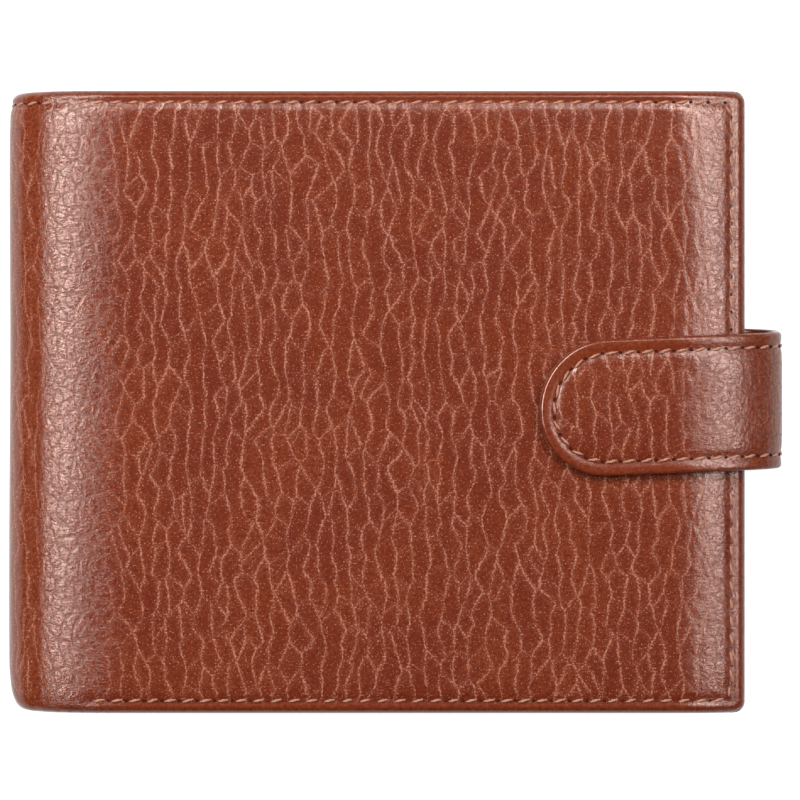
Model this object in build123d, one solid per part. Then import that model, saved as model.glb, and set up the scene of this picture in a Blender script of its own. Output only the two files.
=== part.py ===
from build123d import *
import os
from math import pi

# Bifold wallet, closed, lying on its back cover.
# X runs from the spine (-X) to the closing tab (+X), Y from the sewn bottom edge to the open top edge, Z up.
# The origin is the centre of the back cover's resting face. Millimetres.

# Overall size of the closed wallet
body_length = 115.0
body_height = 97.0

# Thickness of each layer
cover_leather = 1.2
padding = 1.0
lining_cloth = 0.3
divider_sheet = 0.6
panel_leather = 0.8
pocket_leather = 0.7
layer_gap = 0.2
halves_gap = 0.4

# Covers
rim_width = 1.2
rim_clearance = 0.1
corner_radius = 1.5
edge_round = 0.5
spine_radius = 8.0
spine_gap = 0.5

# Stitching
thread_width = 0.7
thread_depth = 0.3
groove_clearance = 0.1
stitch_inset_top = 1.75
stitch_inset_side = 2.3
stitch_inset_bottom = 2.0

# Interior panels
panel_start = 12.0
panel_inset = 1.0
panel_top_inset = 4.5
divider_top_inset = 3.5
card_pocket_count = 4
card_pocket_top_inset = 20.5
card_pocket_step = 12.0

# Coin pocket on the back half
coin_left_inset = 24.0
coin_right_inset = 3.5
coin_bottom_inset = 3.5
coin_top_inset = 28.5
coin_depth = 5.2
gusset_wall = 0.8
flap_hinge_gap = 2.0
flap_length = 22.0
flap_lining_leather = 0.5
flap_leather = 0.8
flap_corner = 6.0
coin_snap_from_tip = 8.0
coin_snap_head_radius = 2.0
coin_snap_socket_radius = 4.2
coin_snap_cap_radius = 5.5
coin_snap_cap_height = 0.7
coin_snap_head_depth = 0.35
coin_snap_cavity_depth = 0.175

# Closing tab
tab_width = 21.3
tab_offset = -0.6
tab_overlap = 32.1
tab_stand_off = 6.0
tab_corner_radius = 5.0
tab_outer_ply = 1.1
tab_lining_ply = 0.9
tab_clearance = 0.3
tab_root_length = 12.0
tab_root_ply = 1.0
tab_stitch_inset = 2.1
tab_hinge_gap = 0.3

# Hidden press stud under the tab
snap_from_tip = 10.6
snap_head_radius = 2.1
snap_post_radius = 1.2
snap_flange_radius = 3.5
snap_flange_height = 0.2
snap_flange_proud = 0.1
snap_head_height = 1.0
snap_socket_radius = 5.0
snap_cap_radius = 5.5
snap_cap_height = 0.4
snap_clearance = 0.4
rivet_radius = 4.0
rivet_height = 0.5

# Levels of the back half, from the resting face up
pad_low = cover_leather
lining_low = pad_low + padding
rim_top = lining_low + lining_cloth
divider_low = rim_top + layer_gap
panel_low = divider_low + divider_sheet + layer_gap
coin_floor = panel_low + panel_leather
coin_front_low = coin_floor + coin_depth
coin_front_top = coin_front_low + panel_leather
flap_low = coin_front_top + layer_gap
flap_leather_low = flap_low + flap_lining_leather
flap_top = flap_leather_low + flap_leather
back_stack = flap_top + coin_snap_cap_height

# Total thickness. The front half is the same stack upside down, with card pockets in place of the coin pocket.
front_stack = coin_floor + card_pocket_count * pocket_leather
thickness = back_stack + halves_gap + front_stack

# Places in plan
left = -body_length / 2
right = body_length / 2
half_height = body_height / 2
fold_x = left + spine_radius
panel_left = left + panel_start
card_pocket_top = half_height - card_pocket_top_inset
coin_left = left + coin_left_inset
coin_right = right - coin_right_inset
coin_bottom = coin_bottom_inset - half_height
coin_top = half_height - coin_top_inset
flap_hinge_y = coin_top + flap_hinge_gap
flap_tip_y = flap_hinge_y - flap_length
coin_snap_x = (coin_left + coin_right) / 2
coin_snap_y = flap_tip_y + coin_snap_from_tip
tab_tip = right - tab_overlap
tab_reach = right + tab_stand_off
snap_x = tab_tip + snap_from_tip
tab_turn_x = tab_reach - tab_corner_radius
tab_low = cover_leather
tab_lining_low = thickness + tab_clearance
tab_outer_low = tab_lining_low + tab_lining_ply
tab_top = tab_outer_low + tab_outer_ply
groove_width = thread_width + 2 * groove_clearance
groove_depth = thread_depth + groove_clearance / 2


def block(x, y, z):
    """A box from three (low, high) pairs."""
    size = [high - low for low, high in (x, y, z)]
    centre = [(low + high) / 2 for low, high in (x, y, z)]
    return Pos(*centre) * Box(*size)


def disc(x, y, z, radius):
    """An upright cylinder over the (low, high) pair z."""
    return Pos(x, y, (z[0] + z[1]) / 2) * Cylinder(radius, z[1] - z[0])


def flipped(low, high):
    """The front half's (low, high) levels for the same depths below its outer face."""
    return thickness - high, thickness - low


def bend(reach, low, high, corner, depth, ply, y, side):
    """A ply that turns round an upright edge through two quarter circles.
    Its outside is depth inside the face at X = reach, from Z low to high; side is -1 for the left edge."""
    start = reach - side * corner
    runs = []
    for inset in (depth, depth + ply):
        x = reach - side * inset
        radius = corner - inset
        diagonal = radius * (1 - 0.5**0.5)
        bottom = low + inset
        top = high - inset
        foot = ThreePointArc((start, bottom), (x - side * diagonal, bottom + diagonal), (x, bottom + radius))
        head = ThreePointArc((x, top - radius), (x - side * diagonal, top - diagonal), (start, top))
        runs += [foot, Line(foot @ 1, head @ 0), head]
    runs += [Line((start, low + depth), (start, low + depth + ply))]
    runs += [Line((start, high - depth), (start, high - depth - ply))]
    face = Plane.XZ * make_face(Curve() + runs)
    return Pos(0, y[1], 0) * extrude(face, y[1] - y[0])


def spine_bend(depth, ply, y):
    """A ply of the spine, trimmed to leave the hinge gap beside each half."""
    ring = bend(left, 0, thickness, spine_radius, depth, ply, y, -1)
    return ring & block((left, fold_x - spine_gap), y, (0, thickness))


def tab_bend(depth, ply, y):
    """A ply of the tab where it runs up past the right edge."""
    ring = bend(tab_reach, tab_low, tab_top, tab_corner_radius, depth, ply, y, 1)
    return ring & block((tab_turn_x + tab_hinge_gap, tab_reach), y, (tab_low, tab_top))


def edge_strip(width, z):
    """A strip along the top, right and bottom stitch lines, width wide."""
    low_y = stitch_inset_bottom - half_height
    high_y = half_height - stitch_inset_top
    high_x = right - stitch_inset_side
    half = width / 2
    top_run = block((fold_x, high_x + half), (high_y - half, high_y + half), z)
    side_run = block((high_x - half, high_x + half), (low_y - half, high_y + half), z)
    bottom_run = block((panel_left, high_x + half), (low_y - half, low_y + half), z)
    return top_run + side_run + bottom_run


def cover(outer, inner, rim_inner, groove):
    """One half of the outer leather: a plate with its turned edge standing round three sides."""
    low, high = min(outer, rim_inner), max(outer, rim_inner)
    plate = block((fold_x, right), (-half_height, half_height), (low, high))
    corners = plate.edges().filter_by(Axis.Z).group_by(Axis.X)[-1]
    plate = fillet(corners, corner_radius)
    face = plate.faces().sort_by(Axis.Z)[0 if outer < inner else -1]
    rounded = [edge for edge in face.edges() if edge.center().X > fold_x + corner_radius / 2]
    plate = fillet(rounded, edge_round)
    tray = block(
        (fold_x, right - rim_width),
        (rim_width - half_height, half_height - rim_width),
        (min(inner, rim_inner), max(inner, rim_inner)),
    )
    return plate - tray - edge_strip(groove_width, groove)


def layer(z, cuts=()):
    """A sheet that fills the tray inside the turned edge."""
    inset = rim_width + rim_clearance
    sheet = block((fold_x, right - inset), (inset - half_height, half_height - inset), z)
    for cut in cuts:
        sheet -= cut
    return sheet


def divider(z):
    """One half's part of the banknote divider."""
    ends = (panel_inset - half_height, half_height - divider_top_inset)
    return block((fold_x, right - panel_inset), ends, z)


def panel(z, top):
    """An inner leather panel or pocket, sewn in along the right and bottom edges."""
    sheet = block((panel_left, right - panel_inset), (panel_inset - half_height, top), z)
    corner = sheet.edges().filter_by(Axis.Z).group_by(Axis.X)[-1].sort_by(Axis.Y)[0]
    return fillet(corner, corner_radius)


def tab_outline(inset):
    """The tab's plan from its turn to its round tip, inset from its edge."""
    half = tab_width / 2 - inset
    centre = tab_tip + tab_width / 2
    end = tab_turn_x - tab_hinge_gap
    bar = Pos((centre + end) / 2, tab_offset) * Rectangle(end - centre, 2 * half)
    return bar + Pos(centre, tab_offset) * Circle(half)


def tab_ply(z, inset=0.0):
    """The tab's plan between two levels."""
    return Pos(0, 0, z[0]) * extrude(tab_outline(inset), z[1] - z[0])


def tab_strip(width, z):
    """A strip along the tab's stitch line."""
    middle = tab_stitch_inset + thread_width / 2
    return tab_ply(z, middle - width / 2) - tab_ply(z, middle + width / 2)


def tab_edges(depth, ply, width):
    """The two stitch lines where the tab runs past the right edge."""
    strips = []
    for side in (-1, 1):
        y = tab_offset + side * (tab_width / 2 - tab_stitch_inset - thread_width / 2)
        strips.append(tab_bend(depth, ply, (y - width / 2, y + width / 2)))
    return strips


def coin_strip(width, z):
    """A strip along the coin pocket's left, bottom and right stitch lines."""
    half = width / 2
    inset = gusset_wall + thread_width
    low_x, high_x, low_y = coin_left + inset, coin_right - inset, coin_bottom + inset
    left_run = block((low_x - half, low_x + half), (low_y - half, coin_top), z)
    right_run = block((high_x - half, high_x + half), (low_y - half, coin_top), z)
    bottom_run = block((low_x - half, high_x + half), (low_y - half, low_y + half), z)
    return left_run + right_run + bottom_run


def card_strip(width, z):
    """A strip across the outermost card pocket, below its top edge."""
    y = card_pocket_top - (card_pocket_count - 1) * card_pocket_step - stitch_inset_bottom
    ends = (panel_left + stitch_inset_side, right - stitch_inset_side - groove_width)
    return block(ends, (y - width / 2, y + width / 2), z)


def flap_outline(inset):
    """The coin flap's plan, with rounded lower corners, inset from its edge."""
    low_x, high_x, low_y = coin_left + inset, coin_right - inset, flap_tip_y + inset
    middle = Pos((low_x + high_x) / 2, (low_y + flap_hinge_y) / 2)
    plan = middle * Rectangle(high_x - low_x, flap_hinge_y - low_y)
    return fillet(plan.vertices().group_by(Axis.Y)[0], flap_corner - inset)


def flap_sheet(z, inset=0.0):
    """The flap's plan between two levels."""
    return Pos(0, 0, z[0]) * extrude(flap_outline(inset), z[1] - z[0])


def flap_strip(width, z):
    """A strip along the flap's stitch line."""
    middle = stitch_inset_bottom
    strip = flap_sheet(z, middle - width / 2) - flap_sheet(z, middle + width / 2)
    return strip & block((coin_left, coin_right), (flap_tip_y, flap_hinge_y - middle), z)


def back_pieces():
    """The back half: cover, padding, lining, divider, inner panel and the tab's root."""
    root_z = (pad_low, pad_low + tab_root_ply)
    half = tab_width / 2
    root_x = (right - tab_root_length, tab_turn_x - tab_hinge_gap)
    slot = block(
        (root_x[0] - rim_clearance, right + 1),
        (tab_offset - half - rim_clearance, tab_offset + half + rim_clearance),
        root_z,
    )
    groove = (0, groove_depth)
    return {
        "back_cover": cover(0, cover_leather, rim_top, groove) - slot,
        "back_edge_thread": edge_strip(thread_width, (groove_depth - thread_depth, groove_depth)),
        "back_padding": layer((pad_low, lining_low), [slot]),
        "back_lining": layer((lining_low, rim_top)),
        "divider_back": divider((divider_low, divider_low + divider_sheet)),
        "back_inner_panel": panel((panel_low, coin_floor), half_height - panel_top_inset),
        "tab_root": block(root_x, (tab_offset - half, tab_offset + half), root_z),
    }


def coin_pieces():
    """The box-shaped coin pocket that lies on the back half's inner panel."""
    walls = (coin_floor, coin_front_low)
    front_z = (coin_front_low, coin_front_top)
    outer = block((coin_left, coin_right), (coin_bottom, coin_top), walls)
    room_x = (coin_left + gusset_wall, coin_right - gusset_wall)
    room = block(room_x, (coin_bottom + gusset_wall, coin_top), walls)
    thread_z = (coin_front_top - groove_depth, coin_front_top - groove_depth + thread_depth)
    front = block((coin_left, coin_right), (coin_bottom, coin_top), front_z)
    front -= coin_strip(groove_width, (coin_front_top - groove_depth, coin_front_top))
    front -= disc(coin_snap_x, coin_snap_y, front_z, snap_post_radius)
    head_z = (coin_front_top, flap_top - coin_snap_head_depth)
    head = disc(coin_snap_x, coin_snap_y, head_z, coin_snap_head_radius)
    head -= disc(coin_snap_x, coin_snap_y, (coin_front_top, flap_leather_low), snap_post_radius)
    rivet = disc(coin_snap_x, coin_snap_y, (coin_front_low - rivet_height, coin_front_low), rivet_radius)
    rivet += disc(coin_snap_x, coin_snap_y, (coin_front_low - rivet_height, flap_leather_low), snap_post_radius)
    return {
        "coin_pocket_gusset": outer - room,
        "coin_pocket_front": front,
        "coin_pocket_thread": coin_strip(thread_width, thread_z),
        "coin_snap_stud": head,
        "coin_snap_stud_rivet": rivet,
    }


def flap_pieces():
    """The coin pocket's flap, which turns about the foot of its upright part."""
    hole = disc(coin_snap_x, coin_snap_y, (flap_low, flap_top), coin_snap_socket_radius)
    lining = flap_sheet((flap_low, flap_leather_low)) - hole
    upright = block(
        (coin_left, coin_right),
        (flap_hinge_y, flap_hinge_y + flap_leather),
        (coin_floor + layer_gap, flap_top),
    )
    leather = flap_sheet((flap_leather_low, flap_top)) + upright - hole
    leather -= flap_strip(groove_width, (flap_top - groove_depth, flap_top))
    thread_z = (flap_top - groove_depth, flap_top - groove_depth + thread_depth)
    cavity_top = flap_top - coin_snap_cavity_depth
    socket = disc(coin_snap_x, coin_snap_y, (flap_low, flap_top), coin_snap_socket_radius)
    socket -= disc(coin_snap_x, coin_snap_y, (flap_low, cavity_top), coin_snap_head_radius + snap_clearance)
    return {
        "coin_flap_leather": leather,
        "coin_flap_lining": lining,
        "coin_flap_thread": flap_strip(thread_width, thread_z),
        "coin_snap_socket": socket,
        "coin_snap_cap": disc(coin_snap_x, coin_snap_y, (flap_top, back_stack), coin_snap_cap_radius),
    }


def spine_pieces():
    """The fold: the cover's leather, its lining, the divider and the row of stitches along the top edge."""
    across = (-half_height, half_height)
    high_y = half_height - stitch_inset_top
    groove = spine_bend(0, groove_depth, (high_y - groove_width / 2, high_y + groove_width / 2))
    thread_y = (high_y - thread_width / 2, high_y + thread_width / 2)
    divider_y = (panel_inset - half_height, half_height - divider_top_inset)
    return {
        "spine_cover": spine_bend(0, cover_leather, across) - groove,
        "spine_thread": spine_bend(groove_depth - thread_depth, thread_depth, thread_y),
        "spine_lining": spine_bend(cover_leather, lining_cloth, across),
        "divider_spine": spine_bend(divider_low, divider_sheet, divider_y),
    }


def front_pieces():
    """The front half: cover, padding, lining, divider, inner panel, card pockets and the press stud."""
    post = disc(snap_x, tab_offset, flipped(0, cover_leather), snap_post_radius)
    seat = disc(snap_x, tab_offset, flipped(0, snap_flange_height), snap_flange_radius)
    rivet_z = flipped(cover_leather, cover_leather + rivet_height)
    rivet_room = disc(snap_x, tab_offset, flipped(pad_low, lining_low), rivet_radius + rim_clearance)
    outer_groove = flipped(0, groove_depth)
    shell = cover(thickness, thickness - cover_leather, thickness - rim_top, outer_groove)
    flange_top = thickness + snap_flange_proud
    stud = disc(snap_x, tab_offset, (thickness - snap_flange_height, flange_top), snap_flange_radius)
    stud += disc(snap_x, tab_offset, (flange_top, flange_top + snap_head_height), snap_head_radius)
    stud -= disc(snap_x, tab_offset, (thickness - snap_flange_height, flange_top), snap_post_radius)
    rivet = disc(snap_x, tab_offset, rivet_z, rivet_radius)
    rivet += disc(snap_x, tab_offset, (rivet_z[1], flange_top), snap_post_radius)
    pieces = {
        "front_cover": shell - post - seat,
        "front_edge_thread": edge_strip(thread_width, flipped(groove_depth - thread_depth, groove_depth)),
        "front_padding": layer(flipped(pad_low, lining_low), [rivet_room]),
        "front_lining": layer(flipped(lining_low, rim_top)),
        "divider_front": divider(flipped(divider_low, divider_low + divider_sheet)),
        "front_inner_panel": panel(flipped(panel_low, coin_floor), half_height - panel_top_inset),
        "closure_stud": stud,
        "closure_stud_rivet": rivet,
    }
    for number in range(card_pocket_count):
        low = coin_floor + number * pocket_leather
        sheet = panel(flipped(low, low + pocket_leather), card_pocket_top - number * card_pocket_step)
        pieces[f"card_pocket_{number + 1}"] = sheet
    inner = thickness - front_stack
    pieces[f"card_pocket_{card_pocket_count}"] -= card_strip(groove_width, (inner, inner + groove_depth))
    thread_z = (inner + groove_depth - thread_depth, inner + groove_depth)
    pieces["card_pocket_thread"] = card_strip(thread_width, thread_z)
    return pieces


def tab_pieces():
    """The closing tab past the right edge and over the front, with the socket hidden between its plies."""
    half = tab_width / 2
    across = (tab_offset - half, tab_offset + half)
    wrap = tab_bend(0, tab_outer_ply, across)
    for strip in tab_edges(0, groove_depth, groove_width):
        wrap -= strip
    outer_z = (tab_outer_low, tab_top)
    lining_z = (tab_lining_low, tab_outer_low)
    cap_z = (tab_outer_low, tab_outer_low + snap_cap_height)
    cap = disc(snap_x, tab_offset, cap_z, snap_cap_radius)
    thread_z = (tab_top - groove_depth, tab_top - groove_depth + thread_depth)
    socket = disc(snap_x, tab_offset, (tab_lining_low + snap_flange_proud, tab_outer_low), snap_socket_radius)
    socket -= disc(snap_x, tab_offset, lining_z, snap_head_radius + snap_clearance)
    lining = tab_ply(lining_z) - disc(snap_x, tab_offset, lining_z, snap_socket_radius)
    threads = tab_edges(groove_depth - thread_depth, thread_depth, thread_width)
    return {
        "tab_wrap_outer": wrap,
        "tab_wrap_lining": tab_bend(tab_outer_ply, tab_lining_ply, across),
        "tab_wrap_thread": Compound(children=threads),
        "tab_arm_outer": tab_ply(outer_z) - cap - tab_strip(groove_width, (tab_top - groove_depth, tab_top)),
        "tab_arm_lining": lining,
        "tab_arm_thread": tab_strip(thread_width, thread_z),
        "closure_socket": socket,
        "closure_socket_cap": cap,
    }


def print_hinges():
    """The hinge lines that let the leather lie flat without stretching: a bend of radius r turns about a line
    (1 - pi/4) r inside its outer corner."""
    spine_in = (1 - pi / 4) * spine_radius
    tab_in = (1 - pi / 4) * tab_corner_radius
    print("thickness", round(thickness, 4))
    print("fold x, z", round(left + spine_in, 4), round(spine_in, 4))
    print("fold_upper x, z", round(left + spine_in, 4), round(thickness - spine_in, 4))
    print("tab x, z", round(tab_reach - tab_in, 4), round(tab_low + tab_in, 4))
    print("tab_upper x, z", round(tab_reach - tab_in, 4), round(tab_top - tab_in, 4))
    print("coin_flap y, z", round(flap_hinge_y + flap_leather, 4), round(coin_floor + layer_gap, 4))


def main():
    os.makedirs("parts", exist_ok=True)
    for group in (back_pieces, coin_pieces, flap_pieces, spine_pieces, front_pieces, tab_pieces):
        for name, shape in group().items():
            export_step(shape, f"parts/{name}.step")
    print_hinges()


main()
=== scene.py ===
import math

import bpy
import numpy as np
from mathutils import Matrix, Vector


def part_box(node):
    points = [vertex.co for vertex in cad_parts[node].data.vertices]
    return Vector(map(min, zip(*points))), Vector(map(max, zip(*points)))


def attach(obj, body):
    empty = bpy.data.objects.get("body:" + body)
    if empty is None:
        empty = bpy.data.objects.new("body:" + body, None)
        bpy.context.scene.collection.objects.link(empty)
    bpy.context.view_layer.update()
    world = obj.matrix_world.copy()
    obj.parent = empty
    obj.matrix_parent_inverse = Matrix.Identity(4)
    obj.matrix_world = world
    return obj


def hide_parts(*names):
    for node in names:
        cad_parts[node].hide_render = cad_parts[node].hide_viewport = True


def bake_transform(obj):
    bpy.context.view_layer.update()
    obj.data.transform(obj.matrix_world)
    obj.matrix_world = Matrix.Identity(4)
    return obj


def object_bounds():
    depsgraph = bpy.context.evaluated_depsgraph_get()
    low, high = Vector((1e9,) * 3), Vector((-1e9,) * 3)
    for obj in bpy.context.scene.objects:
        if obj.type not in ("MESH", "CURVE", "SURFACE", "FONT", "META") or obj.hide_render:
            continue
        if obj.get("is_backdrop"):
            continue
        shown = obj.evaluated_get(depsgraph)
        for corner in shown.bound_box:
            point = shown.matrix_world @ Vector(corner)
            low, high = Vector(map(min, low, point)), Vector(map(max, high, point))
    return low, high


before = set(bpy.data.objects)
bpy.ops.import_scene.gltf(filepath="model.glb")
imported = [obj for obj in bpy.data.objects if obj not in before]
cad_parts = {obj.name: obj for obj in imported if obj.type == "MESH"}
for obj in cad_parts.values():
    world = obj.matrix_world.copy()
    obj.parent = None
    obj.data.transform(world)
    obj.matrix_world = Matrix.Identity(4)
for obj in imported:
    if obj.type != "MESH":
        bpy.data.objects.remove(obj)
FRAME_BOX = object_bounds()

bl_info = {
    "name": "Bifold wallet",
    "version": (1, 0, 0),
    "blender": (4, 5, 0),
    "location": "View3D > Sidebar > Wallet",
    "description": "Builds a bifold leather wallet with a snap tab, round its frame of rigid pieces",
    "category": "Add Mesh",
}

MM = 0.001
EIGHT = 8  # points around a stitch or a needle hole
INNER_SIDE_OFFSET = 0.31
FINE_STEP = 0.2 * MM  # between the points of a stitch line's path
GROOVE = 0.22 * MM  # how deep stitches lie in the outer leather
ON_PANEL = 0.02 * MM  # how far from an inner leather's face they lie

# The wallet's box, read from the frame: the outer leather's far corner and the tab's reach
RIGHT, HALF_HEIGHT, THICKNESS = np.array(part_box("front_cover")[1])
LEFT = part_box("spine_cover")[0][0]
LENGTH = RIGHT - LEFT
TAB_LOW, TAB_HIGH = (np.array(corner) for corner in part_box("tab_arm_outer"))
TAB_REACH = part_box("tab_wrap_outer")[1][0]
TAB_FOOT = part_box("tab_wrap_outer")[0][2]
TAB_RADIUS = (TAB_HIGH[1] - TAB_LOW[1]) / 2
TAB_MIDDLE = (TAB_HIGH[1] + TAB_LOW[1]) / 2


def length(name, about, default):
    """A length that a user may change, in metres."""
    return bpy.props.FloatProperty(
        name=name, description=about, default=default, unit="LENGTH", subtype="DISTANCE", min=0, precision=5
    )


def colour(name, about, default):
    """A colour that a user may change."""
    return bpy.props.FloatVectorProperty(
        name=name, description=about, default=default, size=3, subtype="COLOR", min=0, max=1
    )


class WalletSizes(bpy.types.PropertyGroup):
    """Lengths of the soft parts, in metres."""

    shoulder_length: length("Shoulder length", "How far from the spine the cover starts to turn", 16 * MM)
    shoulder_drop: length("Shoulder drop", "How far down the spine that rounding ends", 9 * MM)
    front_camber: length("Front camber", "How far the front's free edge drops", 2.6 * MM)
    back_camber: length("Back camber", "How far the back's free edge lifts", 0.7 * MM)
    camber_length: length("Camber length", "How far from the free edge the cover starts to drop", 12 * MM)
    end_drop: length("End drop", "How far the top and bottom edges drop", 0.5 * MM)
    end_reach: length("End reach", "How far in from those edges the drop is felt", 2.4 * MM)
    rim: length("Rim", "Thickness of the turned edge", 2.5 * MM)
    stitch_pitch: length("Stitch pitch", "Distance between two needle holes", 2.75 * MM)
    thread_radius: length("Thread radius", "Half the thread's thickness", 0.21 * MM)
    stitch_top: length("Top stitch line", "Its distance from the top edge", 1.85 * MM)
    stitch_side: length("Side stitch line", "Its distance from the free edge", 2.3 * MM)
    stitch_bottom: length("Bottom stitch line", "Its distance from the bottom edge", 2.0 * MM)
    stitch_tab: length("Tab stitch line", "Its distance from the tab's edge", 2.2 * MM)
    panel_start: length("Panel start", "Distance from the spine to the inner panels", 12 * MM)
    grain_width: length("Grain width", "Width of one cell of the outer leather's grain", 2.35 * MM)
    grain_length: length("Grain length", "Length of one cell of the outer leather's grain", 4.5 * MM)


class WalletColours(bpy.types.PropertyGroup):
    """Colours of the leathers, cloth, thread and metal."""

    leather: colour("Leather", "Outer leather between its cracks", (0.073, 0.0098, 0.0031))
    leather_warm: colour("Warm leather", "Outer leather where the dye is thinner", (0.100, 0.0168, 0.0043))
    # Painted light: a lighter amber where the leather stands on edge, for the light from the floor, and a
    # lighter tone on the rim outside the stitches.
    leather_amber: colour("Amber leather", "Outer leather on the spine", (0.116, 0.0205, 0.0045))
    # Dark pores, and also painted shade in the short cells' furrows and fold lines and along the stitch
    # grooves.
    leather_dark: colour("Dark leather", "Outer leather in its pores", (0.056, 0.0068, 0.0024))
    leather_pale: colour("Pale cracks", "Cracks between the grain's cells", (0.235, 0.082, 0.048))
    inner: colour("Inner leather", "Panels and pockets", (0.090, 0.0185, 0.0078))
    inner_pale: colour("Inner cracks", "Cracks in the panels' grain", (0.19, 0.066, 0.036))
    lining: colour("Lining", "Cloth of the banknote compartment", (0.048, 0.0150, 0.0080))
    thread: colour("Thread", "All stitches", (0.27, 0.100, 0.050))
    metal: colour("Metal", "Press studs", (0.42, 0.29, 0.13))
    board: colour("Board", "Padding under the leather", (0.55, 0.50, 0.42))


def sizes():
    """The lengths set in the scene."""
    return bpy.context.scene.wallet_sizes


def colours():
    """The colours set in the scene."""
    return bpy.context.scene.wallet_colours


# Shapes


def smooth(t):
    """3 t^2 - 2 t^3, with t held between 0 and 1."""
    t = np.clip(t, 0, 1)
    return t * t * (3 - 2 * t)


def bell(t):
    """exp(-t^2), a soft hump or groove of unit height."""
    return np.exp(-t * t)


def graded(low, high, count, grade=0.6):
    """Steps from low to high that are shorter at the ends: t - grade sin(2 pi t) / (2 pi)."""
    t = np.linspace(0, 1, count)
    return low + (high - low) * (t - grade * np.sin(2 * np.pi * t) / (2 * np.pi))


def rounded(distances, radius):
    """Depth of a quarter-round edge below its face, R - sqrt(R^2 - q^2), where q is how far a point has
    passed the start of the rounding, towards all nearby edges together."""
    inside = np.sqrt(sum(np.clip(1 - d / radius, 0, 1) ** 2 for d in distances))
    inside = np.clip(inside, 0, 0.999)
    return radius * (1 - np.sqrt(1 - inside**2))


def nearest(*distances):
    """The least of some arrays of distances, point by point."""
    return np.minimum.reduce(np.broadcast_arrays(*distances))


def joined(*parts):
    """Arrays of x, y and so on, brought to one shape and stacked as points."""
    return np.stack(np.broadcast_arrays(*parts), axis=-1)


def run_along(path):
    """Length run from the start of a path to each of its points."""
    return np.concatenate([[0], np.cumsum(np.linalg.norm(np.diff(path, axis=0), axis=1))])


def unit(vectors):
    """Vectors of length 1 in the same directions."""
    return vectors / np.linalg.norm(vectors, axis=-1, keepdims=True)


class Half:
    """Section of one half of the wallet, from the middle of the spine to the free edge. It runs straight up
    the spine, round a quarter ellipse and along the flat face, and near the free edge it drops by the camber
    times the square of how far it has gone. The inner layers drop less, because the padding thins out. s is
    the length along the section, and depth is measured in from its outer side."""

    INNER_SHARE = 0.6  # of the camber that the inner layers lose, from PADDED_DEPTH on
    PADDED_DEPTH = 7 * MM
    CORNER = 1.8 * MM
    CORNER_REACH = 5 * MM
    EDGE_REACH = 6 * MM  # from the free edge, where depth runs straight down instead of square to the face

    def __init__(self, front):
        size = sizes()
        self.front = front
        camber = size.front_camber if front else size.back_camber
        reach, drop = size.shoulder_length, size.shoulder_drop
        turn = np.linspace(0, np.pi / 2, 240)
        flat = np.linspace(reach, LENGTH, 500)[1:]
        fall = camber * np.clip(1 - (LENGTH - flat) / size.camber_length, 0, 1) ** 2
        up = np.linspace(THICKNESS / 2, drop, 20)[:-1]
        self.x = np.concatenate([0 * up, reach * (1 - np.cos(turn)), flat])
        self.h = np.concatenate([up, drop * (1 - np.sin(turn)), fall])
        self.fall = np.concatenate([0 * up, 0 * turn, fall])
        self.s = run_along(np.stack([self.x, self.h], axis=-1))
        self.end = self.s[-1]
        self.tx, self.th = np.gradient(self.x, self.s), np.gradient(self.h, self.s)

    def s_at(self, from_spine):
        """Length along the section at that distance from the spine's outside."""
        return float(np.interp(from_spine, self.x, self.s))

    def place(self, s, y, depth):
        """Points for arrays of s, y and depth. The ends of the spine are drawn in, more at the bottom than at
        the top, and the corners of the free edge are rounded off by moving points towards the spine."""
        size = sizes()
        x, h, fall, tx, th = (np.interp(s, self.s, v) for v in (self.x, self.h, self.fall, self.tx, self.th))
        to_top, to_bottom = HALF_HEIGHT - y, HALF_HEIGHT + y
        drop = size.end_drop * (np.exp(-to_top / size.end_reach) + np.exp(-to_bottom / size.end_reach))
        level = self.INNER_SHARE * fall * np.clip(depth / self.PADDED_DEPTH, 0, 1)
        depth = depth + drop
        x = x - depth * th * smooth((self.end - s) / self.EDGE_REACH)
        h = h + depth * tx - level
        to_side = np.clip(np.minimum(to_top, to_bottom), 0, self.CORNER)
        cut = self.CORNER - np.sqrt(self.CORNER**2 - (self.CORNER - to_side) ** 2)
        x = x - cut * smooth(1 - (LENGTH - x) / self.CORNER_REACH)
        from_spine = np.clip(x, 0, None)
        pull_bottom = 3.2 * MM * np.exp(-from_spine / (0.8 * MM)) + 0.5 * MM * np.exp(-from_spine / (4 * MM))
        pull_top = 0.45 * MM * np.exp(-from_spine / (2.5 * MM))
        y = y + pull_bottom * smooth(1 - to_bottom / (9 * MM)) - pull_top * smooth(1 - to_top / (6 * MM))
        return joined(LEFT + x, y, THICKNESS - h if self.front else h)


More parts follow.
